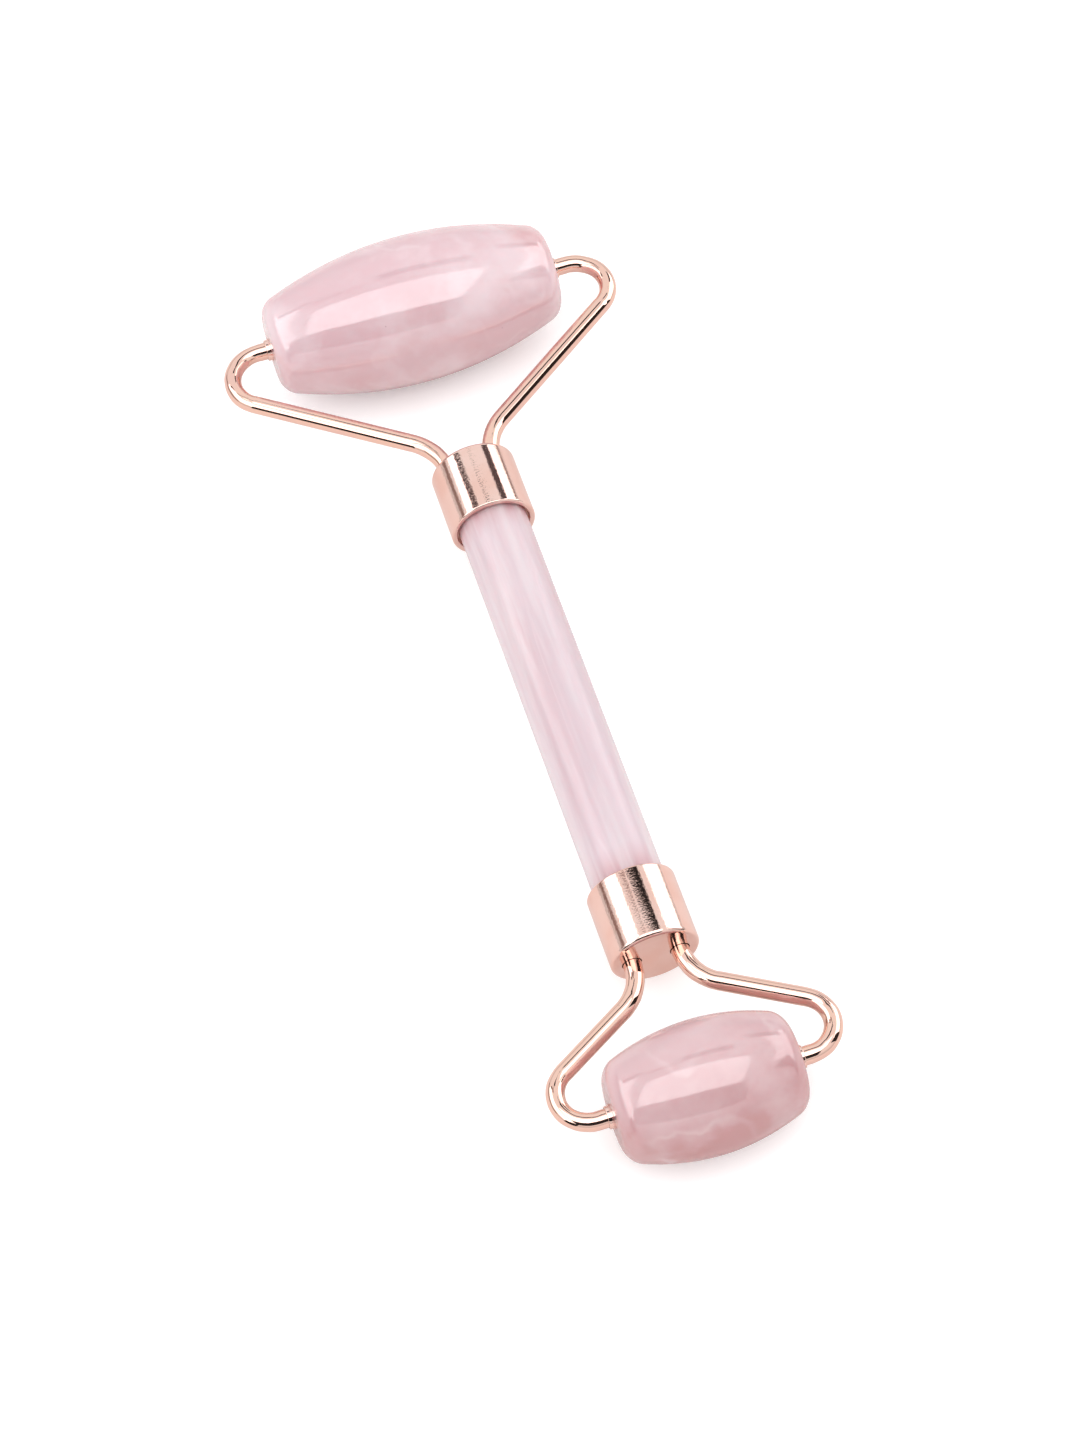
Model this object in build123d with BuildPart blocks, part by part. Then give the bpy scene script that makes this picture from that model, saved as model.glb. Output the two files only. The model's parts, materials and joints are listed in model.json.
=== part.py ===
"""Double-ended stone face roller: a large and a small barrel on bent wire frames.

Frame: +Y runs along the handle from the small roller to the large one, +X runs
along both roller axes and +Z is up.  The tool lies on a table on its two rollers,
and the origin is on the table, under the middle of the tool.  Millimetres.
"""
import os
from math import asin, cos, sin

from build123d import *

# Barrel rollers
large_length = 40.5
large_radius = 10.2          # at the middle of the barrel
large_end_radius = 6.1       # where the barrel's curve meets the end face
large_edge_round = 1.8
small_length = 23.6
small_radius = 8.4
small_end_radius = 5.8
small_edge_round = 1.9
mouth_round = 0.3            # polished edge of the bore's mouth

# Handle rod and the two metal ferrules on its ends
handle_radius = 4.7
handle_exposed = 57.5        # stone seen between the ferrules
handle_seat = 4.2            # depth of the stone in each ferrule
ferrule_radius = 5.75
ferrule_length = 10.0
ferrule_wall = 0.8
ferrule_end_wall = 1.0       # the closed end that the wire comes through
ferrule_round = 0.55
lip_round = 0.25

# Bent wire frames, each one length of wire with its middle inside the ferrule
wire_radius = 1.2
wire_spacing = 6.2           # between the two legs where they leave the ferrule
wire_hole_gap = 0.1
pivot_depth = 5.0            # how far each wire tip reaches into the stone
crown_radius = 2.8           # bends of the wire inside the ferrule
crown_reach = 4.3            # from the end wall's inner face to the crown's far side
large_reach = 28.6           # ferrule end to large roller axis
large_elbow_reach = 4.4      # ferrule end to the first bend's corner
large_elbow_radius = 8.0
large_corner = 36.1          # half width to where arm and roller axis would cross
large_hairpin_radius = 4.55
small_reach = 18.7
small_elbow_reach = 3.9
small_elbow_radius = 6.4
small_corner = 27.9
small_hairpin_radius = 3.95

# Metal sleeves glued into both ends of each roller's bore
sleeve_gap = 0.05            # running clearance round the wire
sleeve_wall = 0.2
sleeve_length = 6.0          # inside the stone
collar_length = 0.7          # outside the stone
rim_radius = 1.6             # thin flange that bears on the stone's face
rim_thickness = 0.2
bore_gap = 0.02              # glue line round the sleeve

# Glue that pots the wire's crown and the stone's end inside each ferrule
glue_recess = 0.7            # below the ferrule's open lip

# Places along the tool's centre line, counted from the small roller's axis
small_ferrule_end = small_reach
small_ferrule_mouth = small_ferrule_end + ferrule_length
large_ferrule_mouth = small_ferrule_mouth + handle_exposed
large_ferrule_end = large_ferrule_mouth + ferrule_length
axis_distance = large_ferrule_end + large_reach

# The tool's own plane dips towards the smaller roller, because both lie on the table
tool_tilt = asin((large_radius - small_radius) / axis_distance)
overall_length = large_radius + axis_distance * cos(tool_tilt) + small_radius
small_axis_y = small_radius - overall_length / 2
large_axis_y = overall_length / 2 - large_radius
tool_direction = Vector(0, cos(tool_tilt), sin(tool_tilt))
tool_normal = Vector(0, -sin(tool_tilt), cos(tool_tilt))
tool_plane = Plane(origin=(0, small_axis_y, small_radius), x_dir=(1, 0, 0), z_dir=tool_normal)

sleeve_inner = wire_radius + sleeve_gap
sleeve_outer = sleeve_inner + sleeve_wall
stone_bore = sleeve_outer + bore_gap
ferrule_bore = ferrule_radius - ferrule_wall


def cross_plane(distance, facing):
    """Plane square to the handle, at a distance along the centre line."""
    centre = tool_plane.from_local_coords((0, distance, 0))
    return Plane(origin=centre, x_dir=(1, 0, 0), z_dir=tool_direction * facing)


def make_roller(axis_y, length, radius, end_radius, edge_round):
    """Barrel stone with a convex side, rounded rims and a bore from end to end."""
    half = length / 2
    roller_plane = Plane(origin=(0, axis_y, radius), x_dir=(1, 0, 0), z_dir=(0, 0, 1))
    with BuildPart() as roller:
        with BuildSketch(roller_plane) as half_section:
            with BuildLine():
                ThreePointArc((-half, end_radius), (0, radius), (half, end_radius))
                Polyline((half, end_radius), (half, stone_bore), (-half, stone_bore), (-half, end_radius))
            make_face()
            fillet(half_section.vertices().group_by(Axis.Y)[-1], edge_round)
            fillet(half_section.vertices().group_by(Axis.Y)[0], mouth_round)
        revolve(axis=Axis((0, axis_y, radius), (1, 0, 0)))
    return roller


def make_sleeve(axis_y, radius, face_x, inward):
    """Thin metal sleeve in one end of a roller's bore: flange on the face, collar outside."""
    face_plane = Plane(origin=(face_x, axis_y, radius), x_dir=(0, 1, 0), z_dir=(inward, 0, 0))
    with BuildPart() as sleeve:
        with BuildSketch(face_plane.offset(-collar_length)):
            Circle(sleeve_outer)
        extrude(amount=collar_length + sleeve_length)
        outer_edges = sleeve.edges().filter_by(GeomType.CIRCLE).sort_by(Axis.X)
        fillet(outer_edges[0] if inward > 0 else outer_edges[-1], sleeve_wall * 0.6)
        with BuildSketch(face_plane):
            Circle(rim_radius)
        extrude(amount=-rim_thickness)
        with BuildSketch(face_plane.offset(-collar_length)):
            Circle(sleeve_inner)
        extrude(amount=collar_length + sleeve_length, mode=Mode.SUBTRACT)
    return sleeve


def make_ferrule(end_distance, facing):
    """Metal cup: closed end with two wire holes, open mouth round the handle stone."""
    end_plane = cross_plane(end_distance, facing)
    with BuildPart() as ferrule:
        with BuildSketch(end_plane):
            Circle(ferrule_radius)
        extrude(amount=ferrule_length)
        fillet(ferrule.edges().sort_by(Axis.Y)[0 if facing > 0 else -1], ferrule_round)
        with BuildSketch(end_plane.offset(ferrule_end_wall)):
            Circle(ferrule_bore)
        extrude(amount=ferrule_length - ferrule_end_wall, mode=Mode.SUBTRACT)
        mouth_face = ferrule.faces().filter_by(GeomType.PLANE).sort_by(Axis.Y)[-1 if facing > 0 else 0]
        fillet(mouth_face.edges(), lip_round)
        with BuildSketch(end_plane):
            with Locations((-wire_spacing / 2, 0), (wire_spacing / 2, 0)):
                Circle(wire_radius + wire_hole_gap)
        extrude(amount=ferrule_end_wall, mode=Mode.SUBTRACT)
    return ferrule


def make_frame(axis_distance_v, ferrule_end, inward, half_roller, corner, hairpin, elbow_reach, elbow):
    """One bent wire: pivot tip, hairpin, arm, elbow, crown in the ferrule, and back."""
    leg = wire_spacing / 2
    tip = half_roller - pivot_depth
    crown = ferrule_end + inward * (ferrule_end_wall + crown_reach - wire_radius)
    elbow_corner = ferrule_end - inward * elbow_reach
    route = [
        (-tip, axis_distance_v),
        (-corner, axis_distance_v),
        (-leg, elbow_corner),
        (-leg, crown),
        (leg, crown),
        (leg, elbow_corner),
        (corner, axis_distance_v),
        (tip, axis_distance_v),
    ]
    bends = [hairpin, elbow, crown_radius, crown_radius, elbow, hairpin]
    with BuildPart() as frame:
        with BuildLine(tool_plane) as centre_line:
            FilletPolyline(*route, radius=bends)
        with BuildSketch(Plane(origin=centre_line.line @ 0, z_dir=centre_line.line % 0)):
            Circle(wire_radius)
        sweep(path=centre_line.line)
        tips = frame.faces().filter_by(GeomType.PLANE)
        fillet(tips.edges(), wire_radius * 0.35)
    return frame


def make_glue(ferrule_end, facing, frame):
    """Glue plug round the wire's crown and the seated end of the handle stone."""
    with BuildPart() as glue:
        with BuildSketch(cross_plane(ferrule_end, facing).offset(ferrule_end_wall)):
            Circle(ferrule_bore)
        extrude(amount=ferrule_length - ferrule_end_wall - glue_recess)
        add(handle_stone.part, mode=Mode.SUBTRACT)
        add(frame.part, mode=Mode.SUBTRACT)
    return glue


# Stone rod between the ferrules, its ends seated inside them
with BuildPart() as handle_stone:
    with BuildSketch(cross_plane(small_ferrule_mouth - handle_seat, 1)):
        Circle(handle_radius)
    extrude(amount=handle_exposed + 2 * handle_seat)
    chamfer(handle_stone.edges().filter_by(GeomType.CIRCLE), 0.3)

large_ferrule = make_ferrule(large_ferrule_end, -1)
small_ferrule = make_ferrule(small_ferrule_end, 1)

large_wire_frame = make_frame(
    axis_distance, large_ferrule_end, -1, large_length / 2,
    large_corner, large_hairpin_radius, large_elbow_reach, large_elbow_radius,
)
small_wire_frame = make_frame(
    0, small_ferrule_end, 1, small_length / 2,
    small_corner, small_hairpin_radius, small_elbow_reach, small_elbow_radius,
)

large_end_glue = make_glue(large_ferrule_end, -1, large_wire_frame)
small_end_glue = make_glue(small_ferrule_end, 1, small_wire_frame)

large_roller_stone = make_roller(
    large_axis_y, large_length, large_radius, large_end_radius, large_edge_round
)
small_roller_stone = make_roller(
    small_axis_y, small_length, small_radius, small_end_radius, small_edge_round
)

large_left_sleeve = make_sleeve(large_axis_y, large_radius, -large_length / 2, 1)
large_right_sleeve = make_sleeve(large_axis_y, large_radius, large_length / 2, -1)
small_left_sleeve = make_sleeve(small_axis_y, small_radius, -small_length / 2, 1)
small_right_sleeve = make_sleeve(small_axis_y, small_radius, small_length / 2, -1)

pieces = {
    "handle_stone": handle_stone,
    "large_ferrule": large_ferrule,
    "small_ferrule": small_ferrule,
    "large_wire_frame": large_wire_frame,
    "small_wire_frame": small_wire_frame,
    "large_end_glue": large_end_glue,
    "small_end_glue": small_end_glue,
    "large_roller_stone": large_roller_stone,
    "large_left_sleeve": large_left_sleeve,
    "large_right_sleeve": large_right_sleeve,
    "small_roller_stone": small_roller_stone,
    "small_left_sleeve": small_left_sleeve,
    "small_right_sleeve": small_right_sleeve,
}

os.makedirs("parts", exist_ok=True)
for piece_name, piece in pieces.items():
    piece.part.label = piece_name
    export_step(piece.part, f"parts/{piece_name}.step")

print(f"roller axes: large y {large_axis_y:.3f} z {large_radius}, small y {small_axis_y:.3f} z {small_radius}")
print(f"overall length {overall_length:.2f}")
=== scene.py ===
import json
import math

import bpy
from mathutils import Matrix, Vector

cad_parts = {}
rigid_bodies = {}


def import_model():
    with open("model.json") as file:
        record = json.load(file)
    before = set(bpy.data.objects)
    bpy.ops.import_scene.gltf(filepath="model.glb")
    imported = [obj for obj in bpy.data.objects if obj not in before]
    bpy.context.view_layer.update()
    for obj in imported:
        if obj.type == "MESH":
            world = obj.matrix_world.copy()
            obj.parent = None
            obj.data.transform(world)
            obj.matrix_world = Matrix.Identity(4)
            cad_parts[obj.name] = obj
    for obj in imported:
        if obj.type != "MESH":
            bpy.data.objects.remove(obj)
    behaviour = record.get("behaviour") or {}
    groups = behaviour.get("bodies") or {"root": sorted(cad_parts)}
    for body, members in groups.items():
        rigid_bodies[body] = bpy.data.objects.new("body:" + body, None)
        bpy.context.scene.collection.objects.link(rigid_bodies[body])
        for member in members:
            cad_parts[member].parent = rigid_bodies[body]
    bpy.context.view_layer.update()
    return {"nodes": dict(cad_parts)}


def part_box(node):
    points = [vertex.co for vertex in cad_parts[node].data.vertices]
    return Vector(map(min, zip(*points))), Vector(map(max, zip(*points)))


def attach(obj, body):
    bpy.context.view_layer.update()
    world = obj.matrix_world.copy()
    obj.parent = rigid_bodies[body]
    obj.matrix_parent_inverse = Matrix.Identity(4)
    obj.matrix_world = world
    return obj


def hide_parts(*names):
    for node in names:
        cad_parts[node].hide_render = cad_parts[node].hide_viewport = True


# rose quartz face roller on bent rose gold wire, laid on a white table and lit by three softboxes
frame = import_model()
print("frame loaded:", len(frame["nodes"]), "nodes")

mm = 0.001


# small helpers shared by the node trees

def addNode(tree, kind, settings=None, inputs=None):
    node = tree.nodes.new(kind)
    for key, value in (settings or {}).items():
        setattr(node, key, value)
    for key, value in (inputs or {}).items():
        socket = node.inputs[key]
        if isinstance(value, bpy.types.NodeSocket):
            tree.links.new(value, socket)
        else:
            socket.default_value = value
    return node


def sums(tree, operation, first, second=0.0, third=0.0):
    node = addNode(tree, "ShaderNodeMath", {"operation": operation}, {0: first, 1: second, 2: third})
    return node.outputs[0]


def vectorSum(tree, operation, first, second=None, scale=None):
    inputs = {0: first}
    if second is not None:
        inputs[1] = second
    if scale is not None:
        inputs["Scale"] = scale
    return addNode(tree, "ShaderNodeVectorMath", {"operation": operation}, inputs).outputs[0]


def ramp(tree, value, low, high, start=0.0, end=1.0):
    node = addNode(tree, "ShaderNodeMapRange", {"interpolation_type": "SMOOTHSTEP"},
                   {"Value": value, "From Min": low, "From Max": high, "To Min": start, "To Max": end})
    return node.outputs["Result"]


def newTree(name, kind, takes, gives):
    tree = bpy.data.node_groups.new(name, kind)
    for label, socketKind in takes:
        tree.interface.new_socket(name=label, in_out="INPUT", socket_type=socketKind)
    for label, socketKind in gives:
        tree.interface.new_socket(name=label, in_out="OUTPUT", socket_type=socketKind)
    given = tree.nodes.new("NodeGroupInput").outputs
    result = tree.nodes.new("NodeGroupOutput").inputs
    return tree, given, result


def growPiece(name, tree, values, baseMesh=None):
    # the tree runs once on a carrier object, and its result is kept as a plain mesh
    carrier = bpy.data.objects.new(name, baseMesh or bpy.data.meshes.new(name))
    bpy.context.scene.collection.objects.link(carrier)
    modifier = carrier.modifiers.new("grow", "NODES")
    modifier.node_group = tree
    plugs = {item.name: item.identifier for item in tree.interface.items_tree if item.in_out == "INPUT"}
    for label, value in values.items():
        modifier[plugs[label]] = value
    bpy.context.view_layer.update()
    ready = carrier.evaluated_get(bpy.context.evaluated_depsgraph_get())
    finished = bpy.data.meshes.new_from_object(ready)
    finished.name = name
    carrier.modifiers.clear()
    carrier.data = finished
    return carrier


# where the frame has put things

def middleOf(node):
    low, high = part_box(node)
    return (low + high) / 2


largeCentre = middleOf("large_roller_stone")
smallCentre = middleOf("small_roller_stone")
handleCentre = middleOf("handle_stone")
toolWay = (largeCentre - smallCentre).normalized()     # from the small roller to the large one
toolTilt = math.atan2(toolWay.z, toolWay.y)
sideWay = Vector((1, 0, 0))


# surface effects that the finishes share

def buildCloudyVeils():
    tree, given, result = newTree(
        "cloudyVeils", "ShaderNodeTree",
        [("Vector", "NodeSocketVector"), ("Cloud Size", "NodeSocketFloat"), ("Warp", "NodeSocketFloat"),
         ("Seed", "NodeSocketFloat")],
        [("Milk", "NodeSocketFloat"), ("Flush", "NodeSocketFloat"), ("Veil", "NodeSocketFloat")])
    pace = sums(tree, "DIVIDE", 1.0, given["Cloud Size"])

    def noise(vector, factor, shift, detail, roughness):
        return addNode(tree, "ShaderNodeTexNoise", {"noise_dimensions": "4D"}, {
            "Vector": vector, "W": sums(tree, "ADD", given["Seed"], shift),
            "Scale": sums(tree, "MULTIPLY", pace, factor), "Detail": detail, "Roughness": roughness})

    swirl = noise(given["Vector"], 0.8, 0.0, 2.0, 0.5).outputs["Color"]
    swirl = vectorSum(tree, "SUBTRACT", swirl, (0.5, 0.5, 0.5))
    swirl = vectorSum(tree, "SCALE", swirl, scale=given["Warp"])
    place = vectorSum(tree, "ADD", given["Vector"], swirl)
    milk = noise(place, 1.0, 3.1, 4.0, 0.55).outputs["Fac"]
    flush = noise(place, 0.7, 7.7, 3.0, 0.5).outputs["Fac"]
    sheet = noise(place, 0.9, 12.4, 3.0, 0.45).outputs["Fac"]
    where = noise(given["Vector"], 0.8, 17.9, 1.0, 0.5).outputs["Fac"]
    # a veil shows where the sheet noise crosses its middle value
    crossing = sums(tree, "ABSOLUTE", sums(tree, "SUBTRACT", sheet, 0.5))
    thin = ramp(tree, crossing, 0.0, 0.035, 1.0, 0.0)
    tree.links.new(ramp(tree, milk, 0.40, 0.66), result["Milk"])
    tree.links.new(ramp(tree, flush, 0.42, 0.68), result["Flush"])
    tree.links.new(sums(tree, "MULTIPLY", thin, ramp(tree, where, 0.45, 0.62)), result["Veil"])
    return tree


def buildFinePits():
    tree, given, result = newTree(
        "finePits", "ShaderNodeTree",
        [("Vector", "NodeSocketVector"), ("Spacing", "NodeSocketFloat"), ("Pit Size", "NodeSocketFloat"),
         ("Share", "NodeSocketFloat")],
        [("Mask", "NodeSocketFloat"), ("Height", "NodeSocketFloat")])
    cells = addNode(tree, "ShaderNodeTexVoronoi", {"feature": "F1"},
                    {"Vector": given["Vector"], "Scale": sums(tree, "DIVIDE", 1.0, given["Spacing"])})
    reach = sums(tree, "DIVIDE", given["Pit Size"], given["Spacing"])
    spot = ramp(tree, cells.outputs["Distance"], sums(tree, "MULTIPLY", reach, 0.35), reach, 1.0, 0.0)
    pick = addNode(tree, "ShaderNodeSeparateColor", inputs={"Color": cells.outputs["Color"]}).outputs[0]
    kept = sums(tree, "LESS_THAN", pick, given["Share"])
    mask = sums(tree, "MULTIPLY", spot, kept)
    tree.links.new(mask, result["Mask"])
    tree.links.new(sums(tree, "MULTIPLY", mask, -1.0), result["Height"])
    return tree


def buildPolishMarks():
    tree, given, result = newTree(
        "polishMarks", "ShaderNodeTree",
        [("Vector", "NodeSocketVector"), ("Base Roughness", "NodeSocketFloat"),
         ("Variation", "NodeSocketFloat"), ("Peel Size", "NodeSocketFloat"),
         ("Scratch Size", "NodeSocketFloat")],
        [("Roughness", "NodeSocketFloat"), ("Peel Height", "NodeSocketFloat"),
         ("Scratch Height", "NodeSocketFloat")])
    smudge = addNode(tree, "ShaderNodeTexNoise", inputs={
        "Vector": given["Vector"], "Scale": 0.35, "Detail": 3.0}).outputs["Fac"]
    peel = addNode(tree, "ShaderNodeTexNoise", inputs={
        "Vector": given["Vector"], "Scale": sums(tree, "DIVIDE", 1.0, given["Peel Size"]),
        "Detail": 2.0}).outputs["Fac"]
    scratchPace = sums(tree, "DIVIDE", 1.0, given["Scratch Size"])
    scratches = []
    for turn, stretch in ((0.5, 18.0), (2.1, 25.0)):      # two crossing sets of hairlines
        laid = addNode(tree, "ShaderNodeMapping", inputs={
            "Vector": given["Vector"], "Rotation": (turn, turn * 0.7, turn * 1.3),
            "Scale": (1.0, stretch, stretch)})
        lines = addNode(tree, "ShaderNodeTexNoise", inputs={
            "Vector": laid.outputs["Vector"], "Scale": scratchPace, "Detail": 1.0}).outputs["Fac"]
        scratches.append(ramp(tree, lines, 0.66, 0.72))
    marks = sums(tree, "MAXIMUM", scratches[0], scratches[1])
    wander = sums(tree, "MULTIPLY", sums(tree, "SUBTRACT", smudge, 0.5), given["Variation"])
    rough = sums(tree, "ADD", given["Base Roughness"], wander)
    inMarks = sums(tree, "MULTIPLY", marks, sums(tree, "MULTIPLY", given["Variation"], 0.5))
    rough = sums(tree, "ADD", rough, inMarks)
    tree.links.new(rough, result["Roughness"])
    tree.links.new(peel, result["Peel Height"])
    tree.links.new(sums(tree, "MULTIPLY", marks, -1.0), result["Scratch Height"])
    return tree


cloudyVeils = buildCloudyVeils()
finePits = buildFinePits()
polishMarks = buildPolishMarks()


# finishes

def startFinish(name):
    finish = bpy.data.materials.new(name)
    finish.use_nodes = True
    tree = finish.node_tree
    shader = tree.nodes["Principled BSDF"]
    place = addNode(tree, "ShaderNodeTexCoord").outputs["Object"]
    return finish, tree, shader, place


def blendColour(tree, amount, first, second):
    node = addNode(tree, "ShaderNodeMix", {"data_type": "RGBA"})
    for socket, value in ((node.inputs[0], amount), (node.inputs[6], first), (node.inputs[7], second)):
        if isinstance(value, bpy.types.NodeSocket):
            tree.links.new(value, socket)
        elif socket.type == "RGBA":
            socket.default_value = (*value, 1.0)
        else:
            socket.default_value = value
    return node.outputs[2]


def stackBumps(tree, shader, layers):
    normal = None
    for height, strength, depth in layers:
        bump = addNode(tree, "ShaderNodeBump", inputs={
            "Height": height, "Strength": strength, "Distance": depth})
        if normal is not None:
            tree.links.new(normal, bump.inputs["Normal"])
        normal = bump.outputs["Normal"]
    tree.links.new(normal, shader.inputs["Normal"])


def makeQuartz(name, look):
    finish, tree, shader, place = startFinish(name)
    local = addNode(tree, "ShaderNodeMapping", {"vector_type": "TEXTURE"}, {
        "Vector": place, "Location": look["centre"], "Rotation": (look["turn"], 0, 0),
        "Scale": tuple(mm * stretch for stretch in look["stretch"])}).outputs["Vector"]
    plain = addNode(tree, "ShaderNodeMapping", {"vector_type": "TEXTURE"}, {
        "Vector": place, "Location": look["centre"], "Rotation": (look["turn"], 0, 0),
        "Scale": (mm, mm, mm)}).outputs["Vector"]
    veils = addNode(tree, "ShaderNodeGroup", {"node_tree": cloudyVeils}, {
        "Vector": local, "Cloud Size": look["cloudSize"], "Warp": look["warp"],
        "Seed": look["seed"]}).outputs
    pits = addNode(tree, "ShaderNodeGroup", {"node_tree": finePits}, {
        "Vector": plain, "Spacing": look["pitSpacing"], "Pit Size": look["pitSize"],
        "Share": look["pitShare"]}).outputs
    marks = addNode(tree, "ShaderNodeGroup", {"node_tree": polishMarks}, {
        "Vector": plain, "Base Roughness": look["roughness"], "Variation": look["variation"],
        "Peel Size": look["peelSize"], "Scratch Size": look["scratchSize"]}).outputs
    # painted shade: on top of the stone's own random flush, the pink is made deeper towards shadeWay, the
    # lower side of the stone
    lean = addNode(tree, "ShaderNodeVectorMath", {"operation": "DOT_PRODUCT"},
                   {0: plain, 1: look["shadeWay"]}).outputs["Value"]
    lean = ramp(tree, lean, look["shadeFrom"], look["shadeTo"])
    flushAndShade = sums(tree, "MULTIPLY", sums(tree, "MAXIMUM", veils["Flush"], look["evenness"]), lean)
    flushAndShade = sums(tree, "ADD", sums(tree, "MULTIPLY", flushAndShade, look["shadeShare"]),
                   sums(tree, "MULTIPLY", veils["Flush"], 1.0 - look["shadeShare"]))
    along = addNode(tree, "ShaderNodeSeparateXYZ", inputs={0: plain}).outputs["Y"]
    # and deeper again where the ferrules hold the handle
    held = ramp(tree, sums(tree, "ABSOLUTE", along), look["heldFrom"], look["heldTo"])
    flushAndShade = sums(tree, "MAXIMUM", flushAndShade, held)
    colour = blendColour(tree, flushAndShade, look["tone"], look["flush"])
    milky = sums(tree, "MULTIPLY", veils["Milk"], look["milkShare"])
    colour = blendColour(tree, milky, colour, look["milk"])
    veiled = sums(tree, "MULTIPLY", veils["Veil"], look["veilShare"])
    colour = blendColour(tree, veiled, colour, look["veil"])
    colour = blendColour(tree, sums(tree, "MULTIPLY", pits["Mask"], look["pitDark"]), colour, look["pit"])
    tree.links.new(colour, shader.inputs["Base Color"])
    tree.links.new(marks["Roughness"], shader.inputs["Roughness"])
    shader.inputs["IOR"].default_value = look["lustre"]
    shader.inputs["Subsurface Weight"].default_value = look["glowThrough"]
    shader.inputs["Subsurface Radius"].default_value = look["glowReach"]
    shader.inputs["Subsurface Scale"].default_value = look["glowDepth"]
    stackBumps(tree, shader, [(marks["Peel Height"], 0.12, 0.03 * mm), (pits["Height"], 0.5, 0.05 * mm),
                              (marks["Scratch Height"], 0.1, 0.004 * mm)])
    return finish


def makeRoseGold(name, look):
    finish, tree, shader, place = startFinish(name)
    local = addNode(tree, "ShaderNodeMapping", {"vector_type": "TEXTURE"}, {
        "Vector": place, "Scale": (mm, mm, mm)}).outputs["Vector"]
    marks = addNode(tree, "ShaderNodeGroup", {"node_tree": polishMarks}, {
        "Vector": local, "Base Roughness": look["roughness"], "Variation": look["variation"],
        "Peel Size": look["peelSize"], "Scratch Size": look["scratchSize"]}).outputs
    pits = addNode(tree, "ShaderNodeGroup", {"node_tree": finePits}, {
        "Vector": local, "Spacing": look["pitSpacing"], "Pit Size": look["pitSize"],
        "Share": look["pitShare"]}).outputs
    tarnish = addNode(tree, "ShaderNodeTexNoise", inputs={
        "Vector": local, "Scale": 1.0 / look["tarnishSize"], "Detail": 4.0}).outputs["Fac"]
    colour = blendColour(tree, ramp(tree, tarnish, 0.35, 0.7), look["plate"], look["warm"])
    colour = blendColour(tree, sums(tree, "MULTIPLY", pits["Mask"], look["pitDark"]), colour, look["pit"])
    tree.links.new(colour, shader.inputs["Base Color"])
    tree.links.new(marks["Roughness"], shader.inputs["Roughness"])
    shader.inputs["Metallic"].default_value = 1.0
    stackBumps(tree, shader, [(marks["Peel Height"], look["peel"], 0.02 * mm),
                              (pits["Height"], 0.4, 0.03 * mm),
                              (marks["Scratch Height"], 0.15, 0.003 * mm)])
    return finish


def makeGlue(name, look):
    finish, tree, shader, place = startFinish(name)
    local = addNode(tree, "ShaderNodeMapping", {"vector_type": "TEXTURE"}, {
        "Vector": place, "Scale": (mm, mm, mm)}).outputs["Vector"]
    bubbles = addNode(tree, "ShaderNodeGroup", {"node_tree": finePits}, {
        "Vector": local, "Spacing": look["bubbleSpacing"], "Pit Size": look["bubbleSize"],
        "Share": look["bubbleShare"]}).outputs
    cloud = addNode(tree, "ShaderNodeTexNoise", inputs={
        "Vector": local, "Scale": 1.0 / look["cloudSize"], "Detail": 3.0}).outputs["Fac"]
    # the glue's own amber, lifted brighter as painted light for the shaded ferrule mouths
    colour = blendColour(tree, ramp(tree, cloud, 0.35, 0.65), look["amber"], look["pale"])
    colour = blendColour(tree, bubbles["Mask"], colour, look["bubble"])
    tree.links.new(colour, shader.inputs["Base Color"])
    rough = ramp(tree, cloud, 0.3, 0.7, look["smooth"], look["dull"])
    tree.links.new(rough, shader.inputs["Roughness"])
    stackBumps(tree, shader, [(cloud, 0.4, 0.1 * mm), (bubbles["Height"], 0.4, 0.05 * mm)])
    return finish


# sizes are in millimetres on the piece, colours are red, green, blue
quartzCommon = {
    "tone": (0.65, 0.455, 0.49), "flush": (0.60, 0.31, 0.31), "milk": (0.74, 0.62, 0.65),
    "veil": (0.78, 0.67, 0.69), "pit": (0.27, 0.14, 0.16),
    "warp": 3.0, "stretch": (1.0, 1.0, 1.0), "turn": 0.0,
    "milkShare": 0.7, "veilShare": 0.25, "evenness": 0.2, "shadeShare": 0.75,
    # shadeWay, shadeFrom and shadeTo set painted shade: the pink deepens towards the lower side of a roller
    "shadeWay": (0.6, -0.55, -0.58), "shadeFrom": -6.0, "shadeTo": 14.0,
    "heldFrom": 900.0, "heldTo": 999.0,                    # out of reach: no ferrule holds a roller
    "pitSpacing": 2.6, "pitSize": 0.16, "pitShare": 0.05, "pitDark": 0.45,
    "roughness": 0.095, "variation": 0.05, "peelSize": 3.0, "scratchSize": 6.0, "lustre": 1.85,
    "glowThrough": 0.8, "glowDepth": 2.5 * mm, "glowReach": (1.0, 0.55, 0.6),
}
largeLook = dict(quartzCommon, centre=largeCentre, cloudSize=11.0, seed=4.0)
smallLook = dict(
    quartzCommon, centre=smallCentre, cloudSize=9.0, seed=9.0, milkShare=0.45, evenness=0.7,
    tone=(0.61, 0.42, 0.44), flush=(0.37, 0.075, 0.065), milk=(0.68, 0.53, 0.55),
    # painted shade: the small roller's pink deepens towards its lower side
    shadeWay=(0.15, -0.6, -0.6), shadeFrom=-7.0, shadeTo=5.0)
handleLook = dict(
    quartzCommon, centre=handleCentre, turn=toolTilt, cloudSize=5.0, warp=0.6, seed=15.0,
    tone=(0.62, 0.50, 0.54), flush=(0.50, 0.24, 0.26), milk=(0.73, 0.66, 0.68), milkShare=0.6,
    stretch=(0.55, 7.0, 0.55),                             # streaks along the handle
    shadeFrom=40.0, shadeTo=80.0, heldFrom=24.0, heldTo=31.0,
    roughness=0.26, variation=0.015, lustre=1.6)
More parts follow.
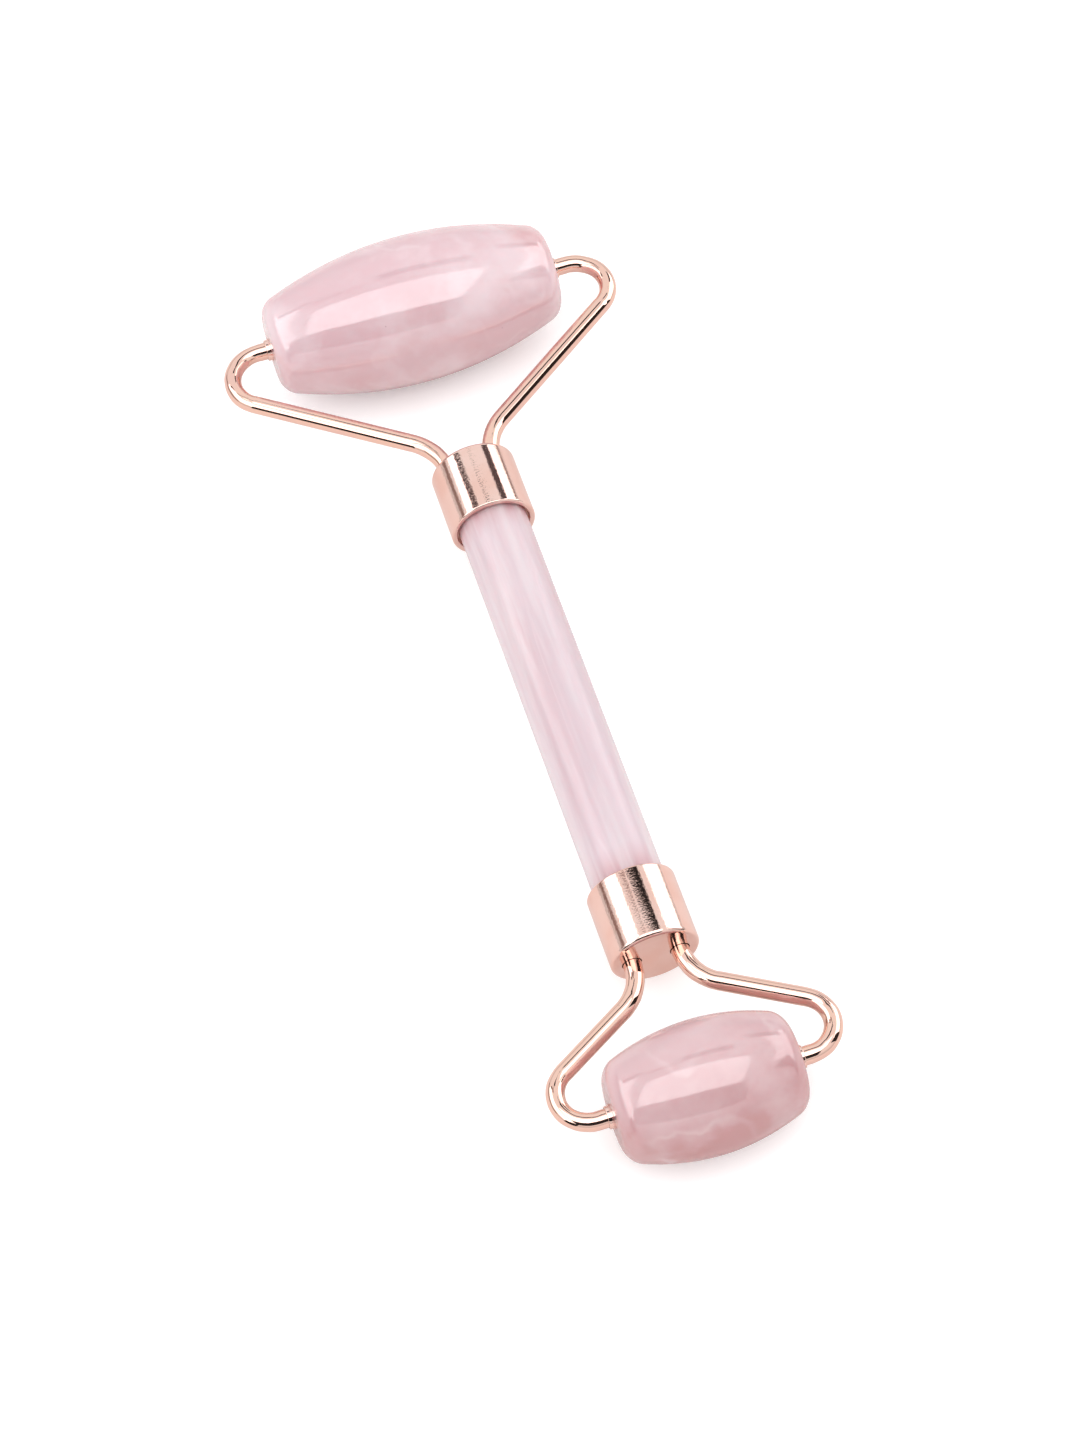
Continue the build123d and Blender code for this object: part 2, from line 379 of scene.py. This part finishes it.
ferruleLook = {
    "plate": (0.89, 0.64, 0.57), "warm": (0.87, 0.58, 0.50), "tarnishSize": 4.0,
    "roughness": 0.045, "variation": 0.04, "peelSize": 0.24, "peel": 0.5, "scratchSize": 2.5,
    "pit": (0.45, 0.25, 0.2), "pitSpacing": 1.1, "pitSize": 0.09, "pitShare": 0.05, "pitDark": 0.5,
}
wireLook = dict(
    ferruleLook, plate=(0.90, 0.61, 0.50), roughness=0.04, peelSize=0.9, peel=0.25, pitShare=0.08)
glueLook = {
    # partly painted light: the glue's amber is lifted to a bright salmon, so the shaded ferrule mouths show
    # the salmon glow of the rose gold
    "amber": (0.80, 0.40, 0.30), "pale": (0.86, 0.50, 0.40), "cloudSize": 1.25,
    "bubble": (0.92, 0.66, 0.56), "bubbleSpacing": 0.5, "bubbleSize": 0.12, "bubbleShare": 0.3,
    "smooth": 0.18, "dull": 0.32,
}

largeQuartz = makeQuartz("largeRollerQuartz", largeLook)
smallQuartz = makeQuartz("smallRollerQuartz", smallLook)
handleQuartz = makeQuartz("handleQuartz", handleLook)
ferruleGold = makeRoseGold("ferruleRoseGold", ferruleLook)
wireGold = makeRoseGold("wireRoseGold", wireLook)
amberGlue = makeGlue("amberGlue", glueLook)
print("finishes mixed:", len(bpy.data.materials))


# turned stones: a section is drawn, its corners rounded, its side bellied, and the whole spun

def buildTurnedStone():
    tree, given, result = newTree(
        "turnedStone", "GeometryNodeTree",
        [("Length", "NodeSocketFloat"), ("Middle Radius", "NodeSocketFloat"),
         ("End Radius", "NodeSocketFloat"), ("Edge Round", "NodeSocketFloat"),
         ("Bore Radius", "NodeSocketFloat"), ("Mouth Round", "NodeSocketFloat"),
         ("Around", "NodeSocketInt"), ("Step", "NodeSocketFloat"),
         ("Wave Depth", "NodeSocketFloat"), ("Wave Size", "NodeSocketFloat"),
         ("Seed", "NodeSocketFloat"), ("Centre", "NodeSocketVector"),
         ("Turn", "NodeSocketVector"), ("Stone", "NodeSocketMaterial")],
        [("Geometry", "NodeSocketGeometry")])
    spinRadius = 1.0 * mm      # of the circle that carries the section round
    half = sums(tree, "MULTIPLY", given["Length"], 0.5)
    back = sums(tree, "MULTIPLY", half, -1.0)
    borePlace = sums(tree, "SUBTRACT", given["Bore Radius"], spinRadius)
    endPlace = sums(tree, "SUBTRACT", given["End Radius"], spinRadius)

    def corner(along, out):
        return addNode(tree, "ShaderNodeCombineXYZ", inputs={"X": out, "Y": along}).outputs[0]

    section = addNode(tree, "GeometryNodeCurvePrimitiveQuadrilateral", {"mode": "POINTS"}, {
        "Point 1": corner(back, borePlace), "Point 2": corner(back, endPlace),
        "Point 3": corner(half, endPlace), "Point 4": corner(half, borePlace)})
    bored = sums(tree, "GREATER_THAN", given["Bore Radius"], 0.01 * mm)
    section = addNode(tree, "GeometryNodeSetSplineCyclic", inputs={
        "Geometry": section.outputs[0], "Cyclic": bored})
    spot = addNode(tree, "GeometryNodeInputPosition").outputs[0]
    drawn = addNode(tree, "ShaderNodeSeparateXYZ", inputs={0: spot}).outputs
    between = sums(tree, "MULTIPLY", sums(tree, "ADD", borePlace, endPlace), 0.5)
    onSide = sums(tree, "GREATER_THAN", drawn["X"], between)
    rounding = addNode(tree, "GeometryNodeSwitch", {"input_type": "FLOAT"}, {
        "Switch": onSide, "False": given["Mouth Round"], "True": given["Edge Round"]}).outputs[0]
    section = addNode(tree, "GeometryNodeFilletCurve", {"mode": "POLY"}, {
        "Curve": section.outputs[0], "Count": 14, "Radius": rounding, "Limit Radius": True})
    # long runs are cut into steps, the rounded corners already have theirs
    following = sums(tree, "ADD", addNode(tree, "GeometryNodeInputIndex").outputs[0], 1.0)
    ahead = addNode(tree, "GeometryNodeFieldAtIndex", {"data_type": "FLOAT_VECTOR", "domain": "POINT"}, {
        "Index": following, "Value": spot}).outputs[0]
    run = addNode(tree, "ShaderNodeVectorMath", {"operation": "DISTANCE"}, {
        0: spot, 1: ahead}).outputs["Value"]
    cuts = sums(tree, "FLOOR", sums(tree, "DIVIDE", run, given["Step"]))
    section = addNode(tree, "GeometryNodeSubdivideCurve", inputs={
        "Curve": section.outputs[0], "Cuts": cuts})
    # the belly of the barrel is a parabola that ends at the faces
    share = sums(tree, "DIVIDE", drawn["Y"], half)
    belly = sums(tree, "SUBTRACT", 1.0, sums(tree, "MULTIPLY", share, share))
    swell = sums(tree, "SUBTRACT", given["Middle Radius"], given["End Radius"])
    belly = sums(tree, "MULTIPLY", belly, swell)
    belly = sums(tree, "MULTIPLY", belly, onSide)
    section = addNode(tree, "GeometryNodeSetPosition", inputs={
        "Geometry": section.outputs[0], "Offset": corner(0.0, belly)})
    circle = addNode(tree, "GeometryNodeCurvePrimitiveCircle", {"mode": "RADIUS"}, {
        "Resolution": given["Around"], "Radius": spinRadius})
    stone = addNode(tree, "GeometryNodeCurveToMesh", inputs={
        "Curve": circle.outputs[0], "Profile Curve": section.outputs[0]})
    stone = addNode(tree, "GeometryNodeMergeByDistance", inputs={
        "Geometry": stone.outputs[0], "Distance": 0.002 * mm})
    stone = addNode(tree, "GeometryNodeTransform", inputs={
        "Geometry": stone.outputs[0], "Rotation": given["Turn"], "Translation": given["Centre"]})
    # hand polishing leaves the surface very slightly uneven, always inwards of the true shape
    waves = addNode(tree, "ShaderNodeTexNoise", {"noise_dimensions": "4D"}, {
        "Vector": spot, "W": given["Seed"], "Scale": sums(tree, "DIVIDE", 1.0, given["Wave Size"]),
        "Detail": 1.0}).outputs["Fac"]
    inwards = sums(tree, "MULTIPLY", sums(tree, "MULTIPLY", waves, given["Wave Depth"]), -1.0)
    normal = addNode(tree, "GeometryNodeInputNormal").outputs[0]
    stone = addNode(tree, "GeometryNodeSetPosition", inputs={
        "Geometry": stone.outputs[0], "Offset": vectorSum(tree, "SCALE", normal, scale=inwards)})
    stone = addNode(tree, "GeometryNodeSetShadeSmooth", inputs={"Geometry": stone.outputs[0]})
    stone = addNode(tree, "GeometryNodeRealizeInstances", inputs={"Geometry": stone.outputs[0]})
    stone = addNode(tree, "GeometryNodeSetMaterial", inputs={
        "Geometry": stone.outputs[0], "Material": given["Stone"]})
    tree.links.new(stone.outputs[0], result["Geometry"])
    return tree


turnedStone = buildTurnedStone()
acrossTurn = (0.0, math.pi / 2, 0.0)                        # spins about the rollers' axis
alongTurn = (toolTilt - math.pi / 2, 0.0, 0.0)              # spins about the handle

barrels = {
    "large_roller_stone": {"endRadius": 6.1 * mm, "edgeRound": 1.8 * mm, "seed": 1.3,
                           "finish": largeQuartz},
    "small_roller_stone": {"endRadius": 5.8 * mm, "edgeRound": 1.9 * mm, "seed": 6.8,
                           "finish": smallQuartz},
}
barrelMake = {"boreRadius": 1.47 * mm, "mouthRound": 0.3 * mm, "around": 220, "step": 0.32 * mm,
              "waveDepth": 0.05 * mm, "waveSize": 7.0 * mm}
for nodeName, barrel in barrels.items():
    low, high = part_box(nodeName)
    body = nodeName.replace("_stone", "")
    stone = growPiece(body + "_quartz", turnedStone, {
        "Length": high.x - low.x, "Middle Radius": (high.z - low.z) / 2,
        "End Radius": barrel["endRadius"], "Edge Round": barrel["edgeRound"],
        "Bore Radius": barrelMake["boreRadius"], "Mouth Round": barrelMake["mouthRound"],
        "Around": barrelMake["around"], "Step": barrelMake["step"],
        "Wave Depth": barrelMake["waveDepth"], "Wave Size": barrelMake["waveSize"],
        "Seed": barrel["seed"], "Centre": middleOf(nodeName), "Turn": acrossTurn,
        "Stone": barrel["finish"]})
    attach(stone, body)
    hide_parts(nodeName)

low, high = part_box("handle_stone")
rodRadius = (high.x - low.x) / 2
rodLength = (high.y - low.y - 2 * rodRadius * abs(math.sin(toolTilt))) / math.cos(toolTilt)
rodMake = {"edgeRound": 0.3 * mm, "around": 160, "step": 0.4 * mm, "waveDepth": 0.04 * mm,
           "waveSize": 9.0 * mm, "seed": 2.2}
rod = growPiece("handle_quartz", turnedStone, {
    "Length": rodLength, "Middle Radius": rodRadius, "End Radius": rodRadius,
    "Edge Round": rodMake["edgeRound"], "Bore Radius": 0.0, "Mouth Round": 0.0,
    "Around": rodMake["around"], "Step": rodMake["step"], "Wave Depth": rodMake["waveDepth"],
    "Wave Size": rodMake["waveSize"], "Seed": rodMake["seed"], "Centre": handleCentre,
    "Turn": alongTurn, "Stone": handleQuartz})
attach(rod, "handle")
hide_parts("handle_stone")
print("stones turned")


# wire frames: one bent wire each, its corners rounded by the bending tool

def buildBentWire():
    tree, given, result = newTree(
        "bentWire", "GeometryNodeTree",
        [("Route", "NodeSocketGeometry"), ("Wire Radius", "NodeSocketFloat"), ("Around", "NodeSocketInt"),
         ("Step", "NodeSocketFloat"), ("Mark Depth", "NodeSocketFloat"), ("Mark Size", "NodeSocketFloat"),
         ("Seed", "NodeSocketFloat"), ("Plating", "NodeSocketMaterial")],
        [("Geometry", "NodeSocketGeometry")])
    line = addNode(tree, "GeometryNodeMeshToCurve", inputs={"Mesh": given["Route"]})
    bend = addNode(tree, "GeometryNodeInputNamedAttribute", {"data_type": "FLOAT"}, {"Name": "bendRadius"})
    line = addNode(tree, "GeometryNodeFilletCurve", {"mode": "POLY"}, {
        "Curve": line.outputs[0], "Count": 40, "Radius": bend.outputs[0], "Limit Radius": True})
    line = addNode(tree, "GeometryNodeResampleCurve", {"mode": "LENGTH"}, {
        "Curve": line.outputs[0], "Length": given["Step"]})
    # how sharply the wire turns here, kept for the tool marks
    tangent = addNode(tree, "GeometryNodeInputTangent").outputs[0]
    following = sums(tree, "ADD", addNode(tree, "GeometryNodeInputIndex").outputs[0], 1.0)
    ahead = addNode(tree, "GeometryNodeFieldAtIndex", {"data_type": "FLOAT_VECTOR", "domain": "POINT"}, {
        "Index": following, "Value": tangent}).outputs[0]
    turning = addNode(tree, "ShaderNodeVectorMath", {"operation": "DISTANCE"}, {
        0: tangent, 1: ahead}).outputs["Value"]
    turning = ramp(tree, turning, 0.01, 0.05)
    line = addNode(tree, "GeometryNodeStoreNamedAttribute", {"data_type": "FLOAT", "domain": "POINT"}, {
        "Geometry": line.outputs[0], "Name": "turning", "Value": turning})
    circle = addNode(tree, "GeometryNodeCurvePrimitiveCircle", {"mode": "RADIUS"}, {
        "Resolution": given["Around"], "Radius": given["Wire Radius"]})
    wire = addNode(tree, "GeometryNodeCurveToMesh", inputs={
        "Curve": line.outputs[0], "Profile Curve": circle.outputs[0], "Fill Caps": True})
    spot = addNode(tree, "GeometryNodeInputPosition").outputs[0]
    dents = addNode(tree, "ShaderNodeTexNoise", {"noise_dimensions": "4D"}, {
        "Vector": spot, "W": given["Seed"], "Scale": sums(tree, "DIVIDE", 1.0, given["Mark Size"]),
        "Detail": 1.0}).outputs["Fac"]
    dents = ramp(tree, dents, 0.42, 0.7)
    bent = addNode(tree, "GeometryNodeInputNamedAttribute", {"data_type": "FLOAT"}, {"Name": "turning"})
    depth = sums(tree, "MULTIPLY", sums(tree, "MULTIPLY", dents, bent.outputs[0]), given["Mark Depth"])
    normal = addNode(tree, "GeometryNodeInputNormal").outputs[0]
    wire = addNode(tree, "GeometryNodeSetPosition", inputs={
        "Geometry": wire.outputs[0],
        "Offset": vectorSum(tree, "SCALE", normal, scale=sums(tree, "MULTIPLY", depth, -1.0))})
    wire = addNode(tree, "GeometryNodeSetShadeSmooth", inputs={"Geometry": wire.outputs[0]})
    wire = addNode(tree, "GeometryNodeRealizeInstances", inputs={"Geometry": wire.outputs[0]})
    wire = addNode(tree, "GeometryNodeSetMaterial", inputs={
        "Geometry": wire.outputs[0], "Material": given["Plating"]})
    tree.links.new(wire.outputs[0], result["Geometry"])
    return tree


def makeRoute(name, corners, bends):
    route = bpy.data.meshes.new(name)
    route.from_pydata(corners, [(i, i + 1) for i in range(len(corners) - 1)], [])
    radii = route.attributes.new("bendRadius", "FLOAT", "POINT")
    radii.data.foreach_set("value", bends)
    return route


wireMake = {"radius": 1.19 * mm, "around": 40, "step": 0.3 * mm, "markDepth": 0.05 * mm,
            "markSize": 2.2 * mm}
legGap = 6.2 * mm          # between the two legs where they leave the ferrule
crownBend = 2.8 * mm
crownDepth = 4.1 * mm      # from the ferrule's outer end to the crown's centre line
pivotDepth = 5.0 * mm      # how far each tip reaches into its stone
# reach is from the ferrule's end to the roller's axis, corner from the middle to where arm and axis meet
wires = {
    "large_wire_frame": {"roller": "large_roller_stone", "outward": 1, "reach": 28.6 * mm,
                         "elbowReach": 4.4 * mm, "elbowBend": 8.0 * mm, "corner": 36.1 * mm,
                         "hairpinBend": 4.55 * mm, "seed": 3.0},
    "small_wire_frame": {"roller": "small_roller_stone", "outward": -1, "reach": 18.7 * mm,
                         "elbowReach": 3.9 * mm, "elbowBend": 6.4 * mm, "corner": 27.9 * mm,
                         "hairpinBend": 3.95 * mm, "seed": 8.0},
}


def makeFrameRoute(nodeName, wire):
    low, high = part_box(wire["roller"])
    tip = (high.x - low.x) / 2 - pivotDepth
    away = toolWay * wire["outward"]
    ferruleEnd = middleOf(wire["roller"]) - away * wire["reach"]
    leg = legGap / 2

    def onTool(across, fromFerrule):
        return ferruleEnd + away * fromFerrule + sideWay * across

    corners = [
        onTool(-tip, wire["reach"]), onTool(-wire["corner"], wire["reach"]),
        onTool(-leg, wire["elbowReach"]), onTool(-leg, -crownDepth),
        onTool(leg, -crownDepth), onTool(leg, wire["elbowReach"]),
        onTool(wire["corner"], wire["reach"]), onTool(tip, wire["reach"])]
    bends = [0.0, wire["hairpinBend"], wire["elbowBend"], crownBend,
             crownBend, wire["elbowBend"], wire["hairpinBend"], 0.0]
    return makeRoute(nodeName + "_route", corners, bends)


bentWire = buildBentWire()
for nodeName, wire in wires.items():
    bentPiece = growPiece(nodeName.replace("_frame", "_bent"), bentWire, {
        "Wire Radius": wireMake["radius"], "Around": wireMake["around"], "Step": wireMake["step"],
        "Mark Depth": wireMake["markDepth"], "Mark Size": wireMake["markSize"],
        "Seed": wire["seed"], "Plating": wireGold}, makeFrameRoute(nodeName, wire))
    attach(bentPiece, "handle")
    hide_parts(nodeName)
print("wires bent")


# the ferrules, sleeves and glue keep their own shape and get the finishes

def coat(nodeName, finish):
    piece = frame["nodes"][nodeName]
    for place in range(max(1, len(piece.material_slots))):
        if place >= len(piece.material_slots):
            piece.data.materials.append(finish)
        piece.material_slots[place].material = finish


for nodeName in ("large_ferrule", "small_ferrule", "large_left_sleeve", "large_right_sleeve",
                 "small_left_sleeve", "small_right_sleeve"):
    coat(nodeName, ferruleGold)
for nodeName in ("large_end_glue", "small_end_glue"):
    coat(nodeName, amberGlue)
print("ferrules, sleeves and glue finished")


# table, softboxes and the dark flags that draw thin lines in the metal

studio = {
    "turn": -11.8,             # degrees, the whole rig stands turned to the tool
    "distance": 0.9, "room": 1.0, "skirting": 0.7, "metalShine": 1.15,
    # tableDarkInReflections is painted shade: the table's colour only where it is mirrored
    "tableSize": 6.0, "tableTone": 0.92, "tableLift": 0.2, "tableDarkInReflections": (0.76, 0.70, 0.68),
    # right, far: degrees off straight up as seen from the tool; wide, tall: degrees across
    "softboxes": {
        "topSoftbox": {"right": 1.5, "far": -11.5, "wide": 57, "tall": 43, "shine": 1.4, "glow": 0.86},
        "leftSoftbox": {"right": -49, "far": -6, "wide": 32, "tall": 72, "shine": 1.3, "glow": 0.7},
        "rightSoftbox": {"right": 57, "far": 26, "wide": 38, "tall": 54, "shine": 1.2, "glow": 0.56},
    },
    "flags": {
        "farLeftBar": {"right": -20, "far": 24, "wide": 13, "tall": 4, "cloth": "brown"},
        "farMiddleBar": {"right": 5, "far": 29, "wide": 27, "tall": 9, "cloth": "black"},
        "leftBar": {"right": -36, "far": 29.5, "wide": 14, "tall": 6, "cloth": "dusk"},
        "rightBar": {"right": 31, "far": 46, "wide": 14, "tall": 9, "cloth": "dusk"},
        "leftOuterBar": {"right": -76, "far": 18, "wide": 9, "tall": 60, "cloth": "brown"},
        "rightOuterBar": {"right": 57, "far": 62, "wide": 5, "tall": 14, "cloth": "brown"},
        "nearBar": {"right": 0, "far": -50, "wide": 62, "tall": 34, "cloth": "black"},
        "nearLeftDark": {"right": -54, "far": -62, "wide": 34, "tall": 22, "cloth": "black"},
        "nearRightDark": {"right": 68, "far": -12, "wide": 42, "tall": 18, "cloth": "black"},
    },
    "cloths": {"black": (0.012, 0.01, 0.01), "dusk": (0.085, 0.065, 0.07), "brown": (0.26, 0.19, 0.17)},
}


def towards(right, far):
    lean = math.radians(math.hypot(right, far))
    heading = math.atan2(right, far) - math.radians(studio["turn"])
    flat = Vector((math.sin(heading), math.cos(heading), 0.0))
    return flat * math.sin(lean) + Vector((0, 0, math.cos(lean)))


def facingMatrix(card, distance):
    way = towards(card["right"], card["far"])
    across = towards(0, 90).cross(way).normalized()
    upward = way.cross(across)
    turn = Matrix((across, upward, way)).transposed().to_4x4()
    return Matrix.Translation(handleCentre + way * distance) @ turn


def spanOf(degrees, distance):
    return 2 * distance * math.tan(math.radians(degrees / 2))


def makeSoftbox(name, card, brightness, glossOnly, distance, receivers=None):
    lamp = bpy.data.lights.new(name, "AREA")
    lamp.shape = "RECTANGLE"
    lamp.size = spanOf(card["wide"], distance)
    lamp.size_y = spanOf(card["tall"], distance)
    lamp.energy = brightness * 4 * lamp.size * lamp.size_y     # so that a bigger card is no dimmer
    holder = bpy.data.objects.new(name, lamp)
    holder.matrix_world = facingMatrix(card, distance)
    holder.visible_camera = False
    holder.visible_diffuse = not glossOnly
    holder.visible_glossy = glossOnly
    if receivers:
        holder.light_linking.receiver_collection = receivers
    bpy.context.scene.collection.objects.link(holder)


def makeCard(name, wide, tall, finish):
    right, up = wide / 2, tall / 2
    mesh = bpy.data.meshes.new(name)
    mesh.from_pydata([(-right, -up, 0), (right, -up, 0), (right, up, 0), (-right, up, 0)],
                     [], [(0, 1, 2, 3)])
    mesh.materials.append(finish)
    return mesh


def makeCloth(name, tone):
    cloth = bpy.data.materials.new(name)
    cloth.use_nodes = True
    shader = cloth.node_tree.nodes["Principled BSDF"]
    shader.inputs["Base Color"].default_value = (*tone, 1.0)
    shader.inputs["Roughness"].default_value = 0.9
    return cloth


def makeFlag(name, card, cloth):
    distance = studio["distance"] * 0.98       # just in front of the softboxes
    mesh = makeCard(name, spanOf(card["wide"], distance), spanOf(card["tall"], distance), cloth)
    mesh.transform(facingMatrix(card, distance))
    flag = bpy.data.objects.new(name, mesh)
    bpy.context.scene.collection.objects.link(flag)
    flag.visible_camera = False
    flag.visible_diffuse = False
    flag.visible_shadow = False


def makeTable():
    finish, tree, shader, place = startFinish("whiteTable")
    grain = addNode(tree, "ShaderNodeTexNoise", inputs={"Vector": place, "Scale": 30.0, "Detail": 3.0})
    tone = studio["tableTone"]
    colour = blendColour(tree, grain.outputs["Fac"], (tone, tone, tone), (tone + 0.01,) * 3)
    path = addNode(tree, "ShaderNodeLightPath").outputs
    # painted shade: the table is darker only where the metal and stone mirror it, which draws tan edges on
    # the metal
    colour = blendColour(tree, path["Is Glossy Ray"], colour, studio["tableDarkInReflections"])
    tree.links.new(colour, shader.inputs["Base Color"])
    shader.inputs["Emission Color"].default_value = (1.0, 1.0, 1.0, 1.0)
    tree.links.new(sums(tree, "MULTIPLY", path["Is Camera Ray"], studio["tableLift"]),
                   shader.inputs["Emission Strength"])
    shader.inputs["Roughness"].default_value = 0.6
    shader.inputs["Specular IOR Level"].default_value = 0.1
    table = bpy.data.objects.new("table", makeCard("table", studio["tableSize"], studio["tableSize"], finish))
    bpy.context.scene.collection.objects.link(table)


def makeRoom():
    world = bpy.data.worlds.new("whiteRoom")
    bpy.context.scene.world = world
    world.use_nodes = True
    tree = world.node_tree
    tree.nodes["Background"].inputs["Color"].default_value = (1.0, 1.0, 1.0, 1.0)
    seen = addNode(tree, "ShaderNodeLightPath").outputs["Is Camera Ray"]
    height = addNode(tree, "ShaderNodeSeparateXYZ", inputs={
        0: addNode(tree, "ShaderNodeTexCoord").outputs["Generated"]}).outputs["Z"]
    room = ramp(tree, height, 0.05, 0.5, studio["skirting"], studio["room"])
    strength = addNode(tree, "ShaderNodeMapRange", inputs={
        "Value": seen, "To Min": room, "To Max": 1.0}).outputs["Result"]
    tree.links.new(strength, tree.nodes["Background"].inputs["Strength"])


makeTable()
makeRoom()
# the metal mirrors the softboxes, so it gets dimmer ones than the stone does
stonePieces = bpy.data.collections.new("stonePieces")
metalPieces = bpy.data.collections.new("metalPieces")
for piece in bpy.context.scene.objects:
    if piece.type == "MESH" and not piece.hide_render and piece.name != "table":
        receivers = stonePieces if "quartz" in piece.name else metalPieces
        receivers.objects.link(piece)
for boxName, card in studio["softboxes"].items():
    # a little behind one another, so that a ray never meets two lamps at the same place
    near = studio["distance"]
    makeSoftbox(boxName + "InStone", card, card["shine"], True, near, stonePieces)
    makeSoftbox(boxName + "InMetal", card, studio["metalShine"], True, near * 1.02, metalPieces)
    makeSoftbox(boxName + "Glow", card, card["glow"], False, near * 1.04)
cloths = {clothName: makeCloth(clothName + "Cloth", tone) for clothName, tone in studio["cloths"].items()}
for flagName, card in studio["flags"].items():
    makeFlag(flagName, card, cloths[card["cloth"]])
print("studio set")


# camera

view = {"azimuth": -11.81, "elevation": 57.99, "roll": -6.71, "distance": 453.8 * mm, "lens": 88.6,
        "aim": Vector((-3.25, -1.71, 0.0)) * mm}       # aim is off the handle's centre


def makeCamera():
    azimuth, elevation, roll = (math.radians(view[key]) for key in ("azimuth", "elevation", "roll"))
    flat = Vector((math.sin(azimuth), -math.cos(azimuth), 0.0))
    back = flat * math.cos(elevation) + Vector((0, 0, math.sin(elevation)))
    level = (-back).cross(Vector((0, 0, 1))).normalized()
    upright = level.cross(-back)
    right = level * math.cos(roll) + upright * math.sin(roll)
    upward = upright * math.cos(roll) - level * math.sin(roll)
    lens = bpy.data.cameras.new("camera")
    lens.lens = view["lens"]
    lens.sensor_width = 36.0
    lens.clip_start, lens.clip_end = 0.01, 20.0
    camera = bpy.data.objects.new("camera", lens)
    turn = Matrix((right, upward, back)).transposed().to_4x4()
    camera.matrix_world = Matrix.Translation(handleCentre + view["aim"] + back * view["distance"]) @ turn
    bpy.context.scene.collection.objects.link(camera)
    bpy.context.scene.camera = camera


makeCamera()
bpy.context.scene.view_settings.view_transform = "Standard"
print("camera placed")
